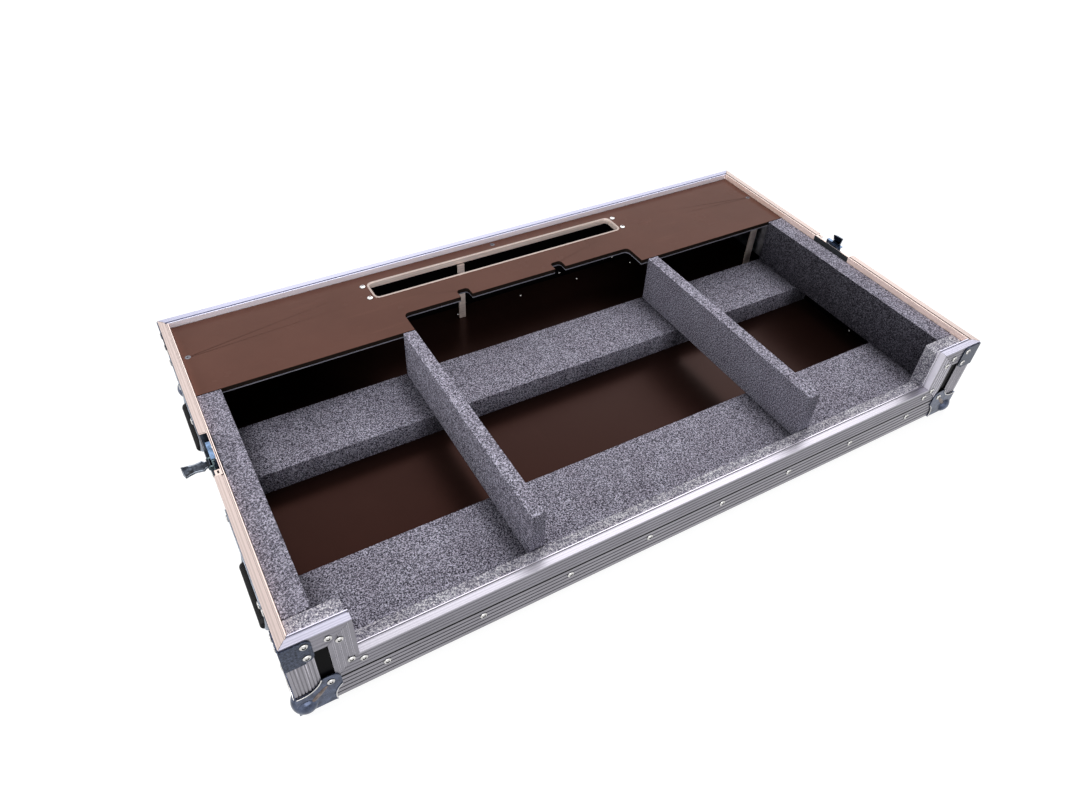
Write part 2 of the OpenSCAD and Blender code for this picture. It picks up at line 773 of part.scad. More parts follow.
module bail() {
    r = wire_d / 2;
    drop = pivot_z - grip_z;
    lean = atan((pivot_in + grip_out) / drop);
    arm = sqrt(drop * drop + (pivot_in + grip_out) * (pivot_in + grip_out));
    for (s = [-1, 1]) {
        translate([hx - pivot_in, s * arm_y, pivot_z]) {
            rotate([0, 180 - lean, 0]) cylinder(arm, r, r, $fn = plain);
            sphere(r + bend_gap, $fn = plain);
            rotate([-s * 90, 0, 0]) cylinder(dish_half + dish_wall - arm_y, r, r, $fn = plain);
        }
        translate([hx + grip_out, s * arm_y, grip_z]) sphere(r + bend_gap, $fn = plain);
    }
    translate([hx + grip_out, 0, grip_z]) rotate([90, 0, 0])
        cylinder(2 * arm_y, r, r, center = true, $fn = plain);
}
module grip() {
    r = grip_d / 2;
    translate([hx + grip_out, 0, grip_z]) rotate([90, 0, 0]) rotate_extrude($fn = fine)
        difference() {
            union() {
                translate([0, -grip_l / 2]) square([r - grip_end_r, grip_l]);
                translate([0, grip_end_r - grip_l / 2]) square([r, grip_l - 2 * grip_end_r]);
                for (s = [-1, 1]) translate([r - grip_end_r, s * (grip_l / 2 - grip_end_r)])
                    circle(grip_end_r, $fn = plain);
            }
            translate([0, -grip_l]) square([wire_d / 2 + wire_fit, 2 * grip_l]);
        }
}
module handle_spring() {
    inner = wire_d / 2 + fit_gap;
    start = arm_y + wire_d / 2 + play;
    stop = dish_half - boss_l - play;
    for (s = [-1, 1]) translate([hx - pivot_in, s * (start + stop) / 2, pivot_z])
        rotate([90, 0, 0]) difference() {
            cylinder(stop - start, inner + spring_wall, inner + spring_wall,
                center = true, $fn = plain);
            cylinder(stop, inner, inner, center = true, $fn = plain);
        }
}
module right_handle(s) up() translate([0, s * handle_y, 0]) children();
module left_handle(s) up() mirror([1, 0, 0]) translate([0, s * handle_y, 0]) children();
module handle_pan_right_front() color("#8d949b") right_handle(-1) dish();
module handle_pan_right_rear() color("#8d949b") right_handle(1) dish();
module handle_pan_left_front() color("#8d949b") left_handle(-1) dish();
module handle_pan_left_rear() color("#8d949b") left_handle(1) dish();
module handle_bail_right_front() color("#9aa1a8") right_handle(-1) bail();
module handle_bail_right_rear() color("#9aa1a8") right_handle(1) bail();
module handle_bail_left_front() color("#9aa1a8") left_handle(-1) bail();
module handle_bail_left_rear() color("#9aa1a8") left_handle(1) bail();
module handle_grip_right_front() color("#17171a") right_handle(-1) grip();
module handle_grip_right_rear() color("#17171a") right_handle(1) grip();
module handle_grip_left_front() color("#17171a") left_handle(-1) grip();
module handle_grip_left_rear() color("#17171a") left_handle(1) grip();
module handle_springs() color("#b9bec4") {
    for (s = [-1, 1]) {
        right_handle(s) handle_spring();
        left_handle(s) handle_spring();
    }
}

// Latches, written for the right side; the left one is the same turned half round
module latch_pan() {
    half = latch_w / 2;
    out_half = half + latch_wall;
    back = hx - latch_back - latch_wall;
    face = hx - panel_out;
    pivot_end = hx - drum_face - head_sink;
    difference() {
        box([back, -out_half, latch_low - latch_wall], [face + latch_wall, out_half, latch_top]);
        box([hx - latch_back, -half, latch_low], [hx + over, half, case_h + over]);
    }
    difference() {
        box([face, -half - latch_flange, latch_low - latch_flange],
            [face + latch_wall, half + latch_flange, case_h - rim_leg - play]);
        box([face - over, -out_half, latch_low - latch_wall], [hx + over, out_half, case_h + over]);
    }
    translate([hx - latch_back, 0, latch_z]) rotate([0, 90, 0])
        cylinder(pivot_end - hx + latch_back, pivot_r, pivot_r, $fn = plain);
    translate([pivot_end, 0, latch_z]) rotate([0, 90, 0])
        cylinder(pivot_head_t, pivot_head_r, pivot_head_r, $fn = plain);
    for (s = [-1, 1])
        box([hx - latch_back, s * (hook_half + play + guide_w / 2) - guide_w / 2,
            latch_z - hook_drop],
            [hx - drum_in - fit_gap, s * (hook_half + play + guide_w / 2) + guide_w / 2,
            latch_z + drum_d / 2]);
    difference() {
        box([back, half - tab_l, latch_top - latch_wall], [face - fit_gap, half, latch_top]);
        translate([(back + face) / 2, half - tab_l / 2, latch_top])
            cube([tab_slot_w, tab_slot_l, 4 * latch_wall], center = true);
    }
}
module latch_drum() {
    eye_x = hx - fold_in;
    sink = head_sink + pivot_fit;
    difference() {
        translate([hx - drum_in, 0, latch_z]) rotate([0, 90, 0])
            cylinder(drum_in - drum_face, drum_d / 2, drum_d / 2, $fn = fine);
        drum_bore();
        translate([hx - drum_face - sink, 0, latch_z]) rotate([0, 90, 0])
            cylinder(sink + over, pivot_head_r + fit_gap, pivot_head_r + fit_gap, $fn = plain);
    }
    difference() {
        translate([hx - hook_in, 0, latch_z + cam_off]) rotate([0, 90, 0])
            cylinder(hook_in - drum_in, cam_r, cam_r, $fn = fine);
        drum_bore();
    }
    for (s = [-1, 1]) difference() {
        union() {
            translate([eye_x, s * (ear_in + ear_t / 2), latch_z]) rotate([90, 0, 0])
                cylinder(ear_t, ear_r, ear_r, center = true, $fn = plain);
            box([hx - drum_face, s * (ear_in + ear_t / 2) - ear_t / 2, latch_z - ear_r],
                [eye_x, s * (ear_in + ear_t / 2) + ear_t / 2, latch_z + ear_r]);
        }
        fold_line(4 * ear_in, pin_r);
    }
    fold_line(2 * (ear_in + ear_t + pin_out), pin_r);
}
module fold_line(l, r) translate([hx - fold_in, 0, latch_z]) rotate([90, 0, 0])
    cylinder(l, r, r, center = true, $fn = plain);
module drum_bore() translate([hx - hook_in - over, 0, latch_z]) rotate([0, 90, 0])
    cylinder(hook_in, pivot_r + pivot_fit, pivot_r + pivot_fit, $fn = plain);
module latch_hook() {
    slot_half_z = cam_r + cam_lag + fit_gap;
    slot_half_y = cam_r + cam_off + fit_gap;
    face = hx - hook_in + hook_t;
    top = latch_z + hook_rise;
    difference() {
        box([hx - hook_in, -hook_half, latch_z - hook_drop], [face, hook_half, top]);
        translate([hx - hook_in, 0, latch_z + cam_off])
            cube([4 * hook_t, 2 * slot_half_y, 2 * slot_half_z], center = true);
    }
    box([face, -hook_half, top - hook_t], [face + hook_lip, hook_half, top]);
}
// The wing stands straight out of the case before it is folded
module wing_out() difference() {
    union() {
        translate([hx - fold_in, 0, latch_z]) rotate([90, 0, 0])
            cylinder(2 * (ear_in - fit_gap), knuckle_r, knuckle_r, center = true, $fn = plain);
        translate([hx - fold_in, 0, latch_z - wing_t / 2]) linear_extrude(wing_t) wing_outline();
    }
    fold_line(4 * ear_in, pin_r + pin_fit);
}
module wing_outline() {
    shoulder = neck_l + wing_neck / 2;
    waist = wing_l * waist_at_share;
    polygon([
        [0, wing_neck - fit_gap], [neck_l, wing_neck - fit_gap],
        [shoulder, wing_w * shoulder_share], [waist, wing_w * waist_share],
        [wing_l * tip_at_share, wing_w / 2], [wing_l, -wing_w * low_tip_share],
        [waist, -wing_w * waist_share], [shoulder, -wing_w * shoulder_share],
        [neck_l, fit_gap - wing_neck], [0, fit_gap - wing_neck]]);
}
module wing_up() translate([hx - fold_in, 0, latch_z]) rotate([0, -90, 0])
    translate([fold_in - hx, 0, -latch_z]) wing_out();
module latch_pan_right() color("#8792a0") up() latch_pan();
module latch_hook_right() color("#6f8287") up() latch_hook();
module latch_drum_right() color("#6f8287") up() latch_drum();
module latch_wing_right() color("#575c60") up() wing_up();
module latch_pan_left() color("#8792a0") up() rotate([0, 0, 180]) latch_pan();
module latch_hook_left() color("#6f8287") up() rotate([0, 0, 180]) latch_hook();
module latch_drum_left() color("#6f8287") up() rotate([0, 0, 180]) latch_drum();
module latch_wing_left() color("#575c60") up() rotate([0, 0, 180]) wing_out();

floor_panel();
left_wall();
right_wall();
rear_wall();
front_wall();
rear_deck();
deck_battens();
deck_screws();
deck_post();
deck_angles();
slot_liner();
slot_rivets();
bottom_edge_front();
bottom_edge_rear();
bottom_edge_left();
bottom_edge_right();
corner_edges();
rim_rear();
rim_left();
rim_right();
rim_front();
rim_post_left();
rim_post_right();
corner_braces();
ball_corners();
front_rivets();
rear_rivets();
left_rivets();
right_rivets();
side_foam_left();
side_foam_right();
corner_foam_left();
corner_foam_right();
front_foam_strip();
front_bar_foam();
rear_bar_foam();
divider_foam_left();
divider_foam_right();
latch_pan_left();
latch_hook_left();
latch_drum_left();
latch_wing_left();
latch_pan_right();
latch_hook_right();
latch_drum_right();
latch_wing_right();
handle_pan_left_front();
handle_pan_left_rear();
handle_pan_right_front();
handle_pan_right_rear();
handle_bail_left_front();
handle_bail_left_rear();
handle_bail_right_front();
handle_bail_right_rear();
handle_grip_left_front();
handle_grip_left_rear();
handle_grip_right_front();
handle_grip_right_rear();
handle_springs();
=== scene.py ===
"""Looks of a flight case's base tray: laminate panels, fluted aluminium trim, zinc
hardware and speckled foam, seen from the front left. Lengths are in metres, and the
outlines of small parts are written in millimetres and turned into metres as they are used."""

import json
import math

import bmesh
import bpy
from mathutils import Matrix, Vector, noise


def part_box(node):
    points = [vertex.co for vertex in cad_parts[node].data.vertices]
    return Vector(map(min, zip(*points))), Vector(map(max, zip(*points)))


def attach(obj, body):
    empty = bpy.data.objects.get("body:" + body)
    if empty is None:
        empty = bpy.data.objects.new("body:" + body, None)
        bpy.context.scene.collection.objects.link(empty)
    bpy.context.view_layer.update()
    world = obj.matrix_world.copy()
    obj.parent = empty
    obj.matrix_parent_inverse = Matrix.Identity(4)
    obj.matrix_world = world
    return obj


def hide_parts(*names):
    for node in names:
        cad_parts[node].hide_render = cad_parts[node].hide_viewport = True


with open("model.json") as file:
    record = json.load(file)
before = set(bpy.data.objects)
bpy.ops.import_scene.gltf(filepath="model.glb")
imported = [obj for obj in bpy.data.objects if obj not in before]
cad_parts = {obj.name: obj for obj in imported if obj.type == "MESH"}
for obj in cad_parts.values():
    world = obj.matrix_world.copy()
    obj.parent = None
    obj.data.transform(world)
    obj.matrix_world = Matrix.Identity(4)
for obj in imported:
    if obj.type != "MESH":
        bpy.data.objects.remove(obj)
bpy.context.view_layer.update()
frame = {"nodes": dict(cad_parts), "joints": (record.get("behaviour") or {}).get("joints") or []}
NODES = frame["nodes"]
JOINTS = {joint["name"]: joint for joint in frame["joints"]}
MM = 0.001

# Places of the CAD that the pieces and the materials follow
HALF_X, HALF_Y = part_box("corner_edges")[1][:2]
LIFT, EDGE_TOP = (corner[2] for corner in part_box("bottom_edge_front"))
RIM_LOW, CASE_TOP = (corner[2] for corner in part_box("rim_rear"))
RIM_W = HALF_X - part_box("rim_right")[0][0]
LOW_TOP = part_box("rim_front")[1][2]
DECK_LOW, DECK_TOP = (corner[2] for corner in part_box("rear_deck"))
FLOOR_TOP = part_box("floor_panel")[1][2]
REAR_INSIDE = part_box("rear_wall")[0][1]
SIDE_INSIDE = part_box("right_wall")[0][0]
LATCH_Z = JOINTS["right_latch_turn"]["pos_m"][2]
FOLD_X = JOINTS["right_wing_fold"]["pos_m"][0]

# Camera, fitted to the photograph
CAMERA_PLACE = Vector((-0.5317, -0.7598, 0.8736))
CAMERA_AZIMUTH = math.radians(32.02)
CAMERA_DOWN = math.radians(43.69)
CAMERA_ROLL = math.radians(3.14)
CAMERA_LENS = 26.33
CAMERA_SENSOR = 36


def add_camera():
    """The photograph's view: the azimuth turns from +Y towards +X."""
    forward = Vector((
        math.sin(CAMERA_AZIMUTH) * math.cos(CAMERA_DOWN),
        math.cos(CAMERA_AZIMUTH) * math.cos(CAMERA_DOWN),
        -math.sin(CAMERA_DOWN)))
    level = Vector((math.cos(CAMERA_AZIMUTH), -math.sin(CAMERA_AZIMUTH), 0))
    upright = level.cross(forward)
    right = level * math.cos(CAMERA_ROLL) + upright * math.sin(CAMERA_ROLL)
    up = right.cross(forward)
    turn = Matrix((right, up, -forward)).transposed()
    data = bpy.data.cameras.new("camera")
    data.lens = CAMERA_LENS
    data.sensor_width = CAMERA_SENSOR
    camera = bpy.data.objects.new("camera", data)
    camera.matrix_world = Matrix.Translation(CAMERA_PLACE) @ turn.to_4x4()
    bpy.context.scene.collection.objects.link(camera)
    bpy.context.scene.camera = camera


# Shader nodes
WHITE = (1, 1, 1)
# A face looks along an axis where its normal's part on that axis is more than this
SQUARE_ON = 0.8


def grey(tone):
    return (tone, tone, tone)


def shaded(color, factor):
    return tuple(min(1.0, part * factor) for part in color)


class Nodes:
    """The shader nodes of a material or of the world, joined by short calls."""

    def __init__(self, tree):
        self.tree = tree

    def add(self, kind):
        return self.tree.nodes.new("ShaderNode" + kind)

    def link(self, start, end):
        self.tree.links.new(start, end)

    def put(self, value, socket):
        """Gives a socket what it takes: another socket's value, a colour or a number."""
        if isinstance(value, bpy.types.NodeSocket):
            self.link(value, socket)
        elif isinstance(value, tuple) and len(value) == 3:
            socket.default_value = (*value, 1)
        else:
            socket.default_value = value

    def calc(self, kind, first, second=0.0):
        node = self.add("Math")
        node.operation = kind
        self.put(first, node.inputs[0])
        self.put(second, node.inputs[1])
        return node.outputs[0]

    def remap(self, source, low, high, start=0.0, stop=1.0):
        """From low to high while the source goes from start to stop, and level beyond."""
        node = self.add("MapRange")
        node.inputs["From Min"].default_value = start
        node.inputs["From Max"].default_value = stop
        node.inputs["To Min"].default_value = low
        node.inputs["To Max"].default_value = high
        self.link(source, node.inputs["Value"])
        return node.outputs["Result"]

    def seen(self):
        """One for camera, glossy and transmission rays, zero for the light on the object."""
        rays = self.add("LightPath").outputs
        share = self.calc("MAXIMUM", rays["Is Camera Ray"], rays["Is Glossy Ray"])
        return self.calc("MAXIMUM", share, rays["Is Transmission Ray"])


class Shader(Nodes):
    """A principled material with its texture nodes, in object coordinates."""

    def __init__(self, name, color, roughness, metallic=0.0):
        self.material = empty_material(name)
        super().__init__(self.material.node_tree)
        self.base = self.add("BsdfPrincipled")
        self.link(self.base.outputs["BSDF"], self.add("OutputMaterial").inputs["Surface"])
        self.paint(color)
        self.set(Roughness=roughness, Metallic=metallic)
        coordinates = self.add("TexCoord").outputs
        self.place = coordinates["Object"]
        self.normal = coordinates["Normal"]

    def set(self, **values):
        for name, value in values.items():
            self.put(value, self.base.inputs[name.replace("_", " ")])

    def paint(self, color):
        """Sets the base colour, and keeps it for a later layer."""
        self.color = color
        self.set(Base_Color=color)

    def noise(self, scale, detail=2.0, rough=0.5, stretch=None):
        node = self.add("TexNoise")
        node.inputs["Scale"].default_value = scale
        node.inputs["Detail"].default_value = detail
        node.inputs["Roughness"].default_value = rough
        source = self.place
        if stretch:
            mapping = self.add("Mapping")
            mapping.inputs["Scale"].default_value = stretch
            self.link(source, mapping.inputs["Vector"])
            source = mapping.outputs["Vector"]
        self.link(source, node.inputs["Vector"])
        return node.outputs["Fac"]

    def part(self, vector, axis):
        """One coordinate of a vector."""
        node = self.add("SeparateXYZ")
        self.link(vector, node.inputs[0])
        return node.outputs[axis]

    def along(self, axis):
        return self.part(self.place, axis)

    def off_middle(self, axis):
        return self.calc("ABSOLUTE", self.along(axis))

    def facing(self, axis):
        """One where the surface looks along an axis, to either side."""
        along = self.calc("ABSOLUTE", self.part(self.normal, axis))
        return self.calc("GREATER_THAN", along, SQUARE_ON)

    def facing_up(self):
        return self.calc("GREATER_THAN", self.part(self.normal, "Z"), SQUARE_ON)

    def ramp(self, source, *stops, steps=False):
        node = self.add("ValToRGB")
        if steps:
            node.color_ramp.interpolation = "CONSTANT"
        elements = node.color_ramp.elements
        while len(elements) < len(stops):
            elements.new(0.5)
        for element, (position, color) in zip(elements, stops):
            element.position = position
            element.color = (*color, 1)
        self.link(source, node.inputs["Fac"])
        return node.outputs["Color"]

    def mix(self, factor, first, second, kind="MIX"):
        node = self.add("Mix")
        node.data_type = "RGBA"
        node.blend_type = kind
        self.put(factor, node.inputs["Factor"])
        self.put(first, node.inputs["A"])
        self.put(second, node.inputs["B"])
        return node.outputs["Result"]

    def times(self, first, second):
        return self.mix(1.0, first, second, "MULTIPLY")

    def mottled(self, source, color, wear, plus=None):
        """A colour that a texture makes a share darker and a share paler."""
        paler = wear if plus is None else plus
        return self.ramp(source, (0.3, shaded(color, 1 - wear)), (0.7, shaded(color, 1 + paler)))

    def roughen(self, source, roughness, low, high):
        """A roughness that a texture moves between two shares of it."""
        self.set(Roughness=self.remap(source, roughness * low, roughness * high))

    def bump(self, source, strength, distance=0.2 * MM):
        node = self.add("Bump")
        node.inputs["Strength"].default_value = strength
        node.inputs["Distance"].default_value = distance
        self.link(source, node.inputs["Height"])
        self.set(Normal=node.outputs["Normal"])


def empty_material(name):
    material = bpy.data.materials.new(name)
    material.use_nodes = True
    material.node_tree.nodes.clear()
    return material


# Stage and light
FLOOR_SIZE = 24
FLOOR_SHADE = 0.2
FLOOR_GLOW = 0.93
# The floor turns to plain white between these distances from the middle
FLOOR_NEAR = 1.0
FLOOR_FAR = 2.6
WORLD_LIGHT = 0.07
# Soft lamps: name, place, target, size, radiance and colour
LAMPS = (
    ("top_rear", (1.57, 2.41, 2.78), (0, 0, 0), (5.4, 2.8), 2.7, (1, 0.98, 0.97)),
    ("overhead", (0, 0, 1.7), (0, 0, 0), (3.2, 1.2), 1.5, (1, 0.99, 1)),
    ("left", (-1.02, -0.05, 0.36), (-0.23, -0.05, 0.09), (0.5, 0.3), 6.5, WHITE),
    ("front", (-0.3, -1.7, 0.45), (0, 0, 0.05), (1.2, 0.5), 3, (0.97, 0.98, 1)))


def add_lamp(name, place, target, size, radiance, color):
    """A soft lamp of an even radiance at a place, aimed at a target."""
    data = bpy.data.lights.new(name, "AREA")
    data.shape = "RECTANGLE"
    data.size, data.size_y = size
    data.energy = radiance * math.pi * size[0] * size[1]
    data.color = color
    lamp = bpy.data.objects.new(name, data)
    lamp.location = place
    lamp.rotation_euler = (Vector(target) - Vector(place)).to_track_quat("-Z", "Y").to_euler()
    lamp.visible_camera = False
    bpy.context.scene.collection.objects.link(lamp)


def floor_material():
    """Pale paper that takes the shadow, and is plain white far from the object."""
    material = empty_material("floor_paper")
    paper = Nodes(material.node_tree)
    distance = paper.add("VectorMath")
    distance.operation = "LENGTH"
    paper.link(paper.add("TexCoord").outputs["Object"], distance.inputs[0])
    glow = paper.remap(distance.outputs["Value"], FLOOR_GLOW, 1, FLOOR_NEAR, FLOOR_FAR)
    emission = paper.add("Emission")
    paper.put(paper.calc("MULTIPLY", paper.seen(), glow), emission.inputs["Strength"])
    diffuse = paper.add("BsdfDiffuse")
    paper.put(grey(FLOOR_SHADE), diffuse.inputs["Color"])
    both = paper.add("AddShader")
    paper.link(diffuse.outputs[0], both.inputs[0])
    paper.link(emission.outputs[0], both.inputs[1])
    paper.link(both.outputs[0], paper.add("OutputMaterial").inputs["Surface"])
    return material


def add_stage():
    """A pale floor that keeps the shadow, a white background and soft lamps."""
    bpy.ops.mesh.primitive_plane_add(size=FLOOR_SIZE)
    floor = bpy.context.object
    floor.name = "floor"
    floor.data.materials.append(floor_material())
    world = bpy.data.worlds.new("world")
    bpy.context.scene.world = world
    world.use_nodes = True
    sky = Nodes(world.node_tree)
    background = world.node_tree.nodes["Background"]
    sky.put(WHITE, background.inputs["Color"])
    sky.put(sky.remap(sky.seen(), WORLD_LIGHT, 1), background.inputs["Strength"])
    for lamp in LAMPS:
        add_lamp(*lamp)
    bpy.context.scene.view_settings.view_transform = "Standard"


# Foam
FOAM_CELLS = 520
FOAM_DARK = (0.02, 0.019, 0.025)
FOAM_MIDDLE = (0.235, 0.229, 0.29)
FOAM_PALE = (0.86, 0.84, 1.0)
FOAM_PATCH = (0.84, 0.82, 0.83)
# How far the painted shade on a floor bar reaches out from an upright foam
SHADE_REACH = 34 * MM


def foam_material(name, shade, spread, side_shade=1.0, painted_shade=()):
    """Closed-cell foam: fine pale and dark cells in faint patches.

    Faces that look along X are darkened by a factor, which is painted shade. The tones, each at a
    share of half the case's length, are painted shade on the floor bars beside the upright foams,
    where less light falls."""
    foam = Shader(name, grey(0.3), 0.9)
    cells = foam.noise(FOAM_CELLS, 2, 0.95)
    color = foam.ramp(cells, (0.5 - spread, shaded(FOAM_DARK, shade)),
                      (0.5, shaded(FOAM_MIDDLE, shade)), (0.5 + spread, shaded(FOAM_PALE, shade)))
    color = foam.times(color, foam.ramp(foam.noise(28), (0.3, FOAM_PATCH), (0.7, WHITE)))
    # Painted shade: the faces that look along X are darker
    if side_shade != 1:
        color = foam.mix(foam.facing("X"), color, foam.times(color, grey(side_shade)))
    # Painted shade: the floor bars are darker beside the upright foams
    if painted_shade:
        share = foam.calc("DIVIDE", foam.off_middle("X"), HALF_X)
        color = foam.times(color, foam.ramp(share, *((at, grey(tone)) for at, tone in painted_shade)))
    foam.paint(color)
    foam.bump(cells, 0.5, 0.4 * MM)
    foam.set(Specular_IOR_Level=0.0)
    return foam.material


def bar_painted_shade():
    """Painted shade on the floor bars, out from the middle: darker beside a divider and a side foam.
    """
    low, high = (corner[0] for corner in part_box("divider_foam_right"))
    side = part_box("side_foam_right")[0][0]
    places = ((0, 1), (low - SHADE_REACH, 1), (low - SHADE_REACH / 3, 0.6), (low, 0.3),
              (high, 0.5), (high + SHADE_REACH / 2, 1), (side - SHADE_REACH, 1),
              (side - SHADE_REACH / 3, 0.6), (side, 0.3))
    return tuple((place / HALF_X, tone) for place, tone in places)


# Laminate
FILM_GRAIN = 900
DECK_TINT = (1, 0.72, 0.62)
PLY_DARK = (0.012, 0.009, 0.008)
PLY_PALE = (0.03, 0.02, 0.014)
PLY_EDGE = (0.3, 0.3, 0.35)


def film(laminate, color, wear, marks, starts, ends, paler):
    """A laminate's film: faint mottling, and rubbed marks where a texture runs high."""
    mottle = laminate.mottled(laminate.noise(9, 4, 0.6), color, wear)
    laminate.bump(laminate.noise(FILM_GRAIN), 0.06)
    return laminate.times(mottle, laminate.ramp(marks, (starts, WHITE), (ends, grey(paler))))


def laminate_material(name, color, roughness, wear, gloss, tint):
    """Phenolic laminate: an even satin film with faint mottling and rubbed marks."""
    laminate = Shader(name, color, roughness)
    marks = laminate.noise(60, 3, 0.7, (1, 0.12, 1))
    laminate.paint(film(laminate, color, wear, marks, 0.62, 0.78, 1.25))
    laminate.roughen(laminate.noise(30, 3), roughness, 0.85, 1.15)
    laminate.set(Specular_IOR_Level=gloss, Specular_Tint=tint)
    return laminate.material


def deck_material(name, color, roughness, gloss):
    """The deck: brown film on top, and plies with a pale lower edge on its cut sides."""
    deck = Shader(name, color, roughness)
    marks = deck.noise(40, 4, 0.7, (0.1, 1, 1))
    top = film(deck, color, 0.08, marks, 0.6, 0.75, 1.2)
    depth = deck.remap(deck.along("Z"), 0, 1, DECK_LOW, DECK_TOP)
    waves = deck.remap(deck.noise(50, 2, 0.5, (1, 1, 0.1)), -0.03, 0.03)
    plies = deck.ramp(deck.calc("ADD", depth, waves), (0.0, PLY_EDGE), (0.25, PLY_DARK),
                      (0.32, PLY_PALE), (0.4, PLY_DARK), (0.5, PLY_PALE), (0.64, PLY_DARK),
                      (0.78, PLY_PALE), (0.9, PLY_DARK), steps=True)
    deck.paint(deck.mix(deck.remap(depth, 0, 1, 0.97, 0.99), plies, top))
    deck.roughen(deck.noise(24, 3), roughness, 0.8, 1.2)
    deck.set(Specular_IOR_Level=gloss, Specular_Tint=DECK_TINT)
    return deck.material


# Aluminium
FLUTES = 4
EDGE_PITCH = (EDGE_TOP - LIFT) / (FLUTES + 1)
RIM_PITCH = (CASE_TOP - RIM_LOW) / (FLUTES + 1)
CORNER_FLUTES = 7
CORNER_LEG = 31 * MM
CORNER_PITCH = CORNER_LEG / (CORNER_FLUTES + 1)
# Flutes of an extrusion, which take painted shade: the axis across them, the edge that they start
# from and their pitch
ON_EDGES = (("Z", EDGE_TOP, EDGE_PITCH),)
ON_CORNERS = (("X", HALF_X, CORNER_PITCH), ("Y", HALF_Y, CORNER_PITCH))
# Depth of the painted shadow along an extrusion's upper edge, in the gap above it, and its share of
# the colour
SEAM_SHADOW_DEPTH = 1.2 * MM
SEAM_SHADOW_SHARE = 0.12
# The rim's top is what lies above these depths, with a soft change between them
RIM_SKIN = (2.2 * MM, 1.9 * MM)
# Half of the length of the painted shade on the rim's inner lip beside a latch, and the colour of
# that shade
LATCH_SHADE_HALF = 39.7 * MM
LATCH_LIP_SHADE = (0.05, 0.055, 0.06)
FROSTED = 0.62
SATIN = 0.36
# The rim's top from its outer edge inward: shares of its width, with shares of its colour
# These bands are painted reflections: painted highlights at the outer and inner edges, painted shade
# in the groove and beside the deck
RIM_SHEEN_SHARES = (
    (0.0, 1.4), (0.06, 1), (0.2, 0.85), (0.24, 1.1), (0.42, 0.8), (0.46, 1.05), (0.7, 1),
    (0.72, 0.5), (0.76, 1), (0.88, 1), (0.91, 1.8), (0.96, 1.8), (0.975, 0.3))


def from_edge(metal, axis, edge):
    """Depth from an edge: down from a level, or in from both ends of an axis."""
    place = metal.along(axis) if axis == "Z" else metal.off_middle(axis)
    return metal.calc("SUBTRACT", edge, place)


def flute_shade_mask(metal, depth, pitch):
    """One in the flutes, which lie at each pitch of the depth from an edge; painted shade goes
    there.
    """
    turn = metal.calc("ADD", metal.calc("DIVIDE", depth, pitch), 0.5)
    off = metal.calc("ABSOLUTE", metal.calc("SUBTRACT", metal.calc("FRACT", turn), 0.5))
    past_edge = metal.calc("GREATER_THAN", depth, 0.6 * pitch)
    return metal.calc("MULTIPLY", metal.remap(off, 1, 0, 0.12, 0.17), past_edge)


def extrusion(name, color, axis, roughness=SATIN, flutes=(), flute_shade=0.5, streak_highlight=1.0):
    """Satin extrusion, drawn along one axis: fine lines run along it, and the flutes are darker by
    painted shade.
    """
    metal = Shader(name, color, roughness, 1.0)
    stretch = [1.0, 1.0, 1.0]
    stretch["XYZ".index(axis)] = 0.006
    lines = metal.noise(1100, 2, 0.6, tuple(stretch))
    # Drawn lines; where streaks runs above one, the palest lines are painted highlights
    drawn = metal.ramp(lines, (0.3, grey(0.8)), (0.6, WHITE), (0.68, grey(streak_highlight)))
    result = metal.times(metal.mottled(metal.noise(14, 3), color, 0.1, 0.05), drawn)
    for across, edge, pitch in flutes:
        depth = from_edge(metal, across, edge)
        # Painted shade in the flutes
        result = metal.mix(flute_shade_mask(metal, depth, pitch), result, shaded(color, flute_shade))
        if across == "Z":
            # A painted shadow along the upper edge, in the gap between the trims
            seam_shadow = metal.calc("LESS_THAN", depth, SEAM_SHADOW_DEPTH)
            result = metal.mix(seam_shadow, result, shaded(color, SEAM_SHADOW_SHARE))
    metal.paint(result)
    metal.roughen(lines, roughness, 0.75, 1.25)
    metal.bump(lines, 0.25)
    return metal


def frosted_material(name, color, top):
    """Folded aluminium: frosted walls, and level faces that are duller."""
    metal = extrusion(name, color, "X", FROSTED)
    metal.paint(metal.mix(metal.facing_up(), metal.color, top))
    return metal.material


def rim_material(name, leg, top, lip_sheen, axis, across, edge, level=CASE_TOP, post=False):
    """A rim extrusion: drawn lines, a top whose colour bands are painted reflections, and a frosted
    inner leg with a bright painted reflection.

    A post's rim also turns down beside the low front, so no flute shade is painted on it, and its
    ends take the same painted reflection as the inner leg."""
    metal = extrusion(name, leg, axis, flutes=() if post else (("Z", level, RIM_PITCH),))
    inward = metal.calc("DIVIDE", from_edge(metal, across, edge), RIM_W)
    profile = metal.ramp(inward, *((at, shaded(top, share)) for at, share in RIM_SHEEN_SHARES))
    skin_low, skin_high = (level - depth for depth in RIM_SKIN)
    high = metal.remap(metal.along("Z"), 0, 1, skin_low, skin_high)
    inner = metal.remap(inward, 0, 1, 0.985, 0.99)
    if across == "X":
        # Painted shade on the inner lip beside the latch, in place of its bright painted reflection
        latch_shade_mask = metal.calc("LESS_THAN", metal.off_middle("Y"), LATCH_SHADE_HALF)
        lip_sheen = metal.mix(latch_shade_mask, lip_sheen, LATCH_LIP_SHADE)
    if post:
        inner = metal.calc("MAXIMUM", inner, metal.facing("X"))
    # The top's bands and the bright inner leg are painted reflections
    metal.paint(metal.mix(inner, metal.mix(high, metal.color, profile), lip_sheen))
    metal.set(Roughness=metal.remap(inner, SATIN, FROSTED))
    return metal.material


# Zinc and rubber
# The latch pans' tops, which lie level with the rim, are what is above this depth; they take a
# painted reflection
PAN_SKIN = 1.3 * MM


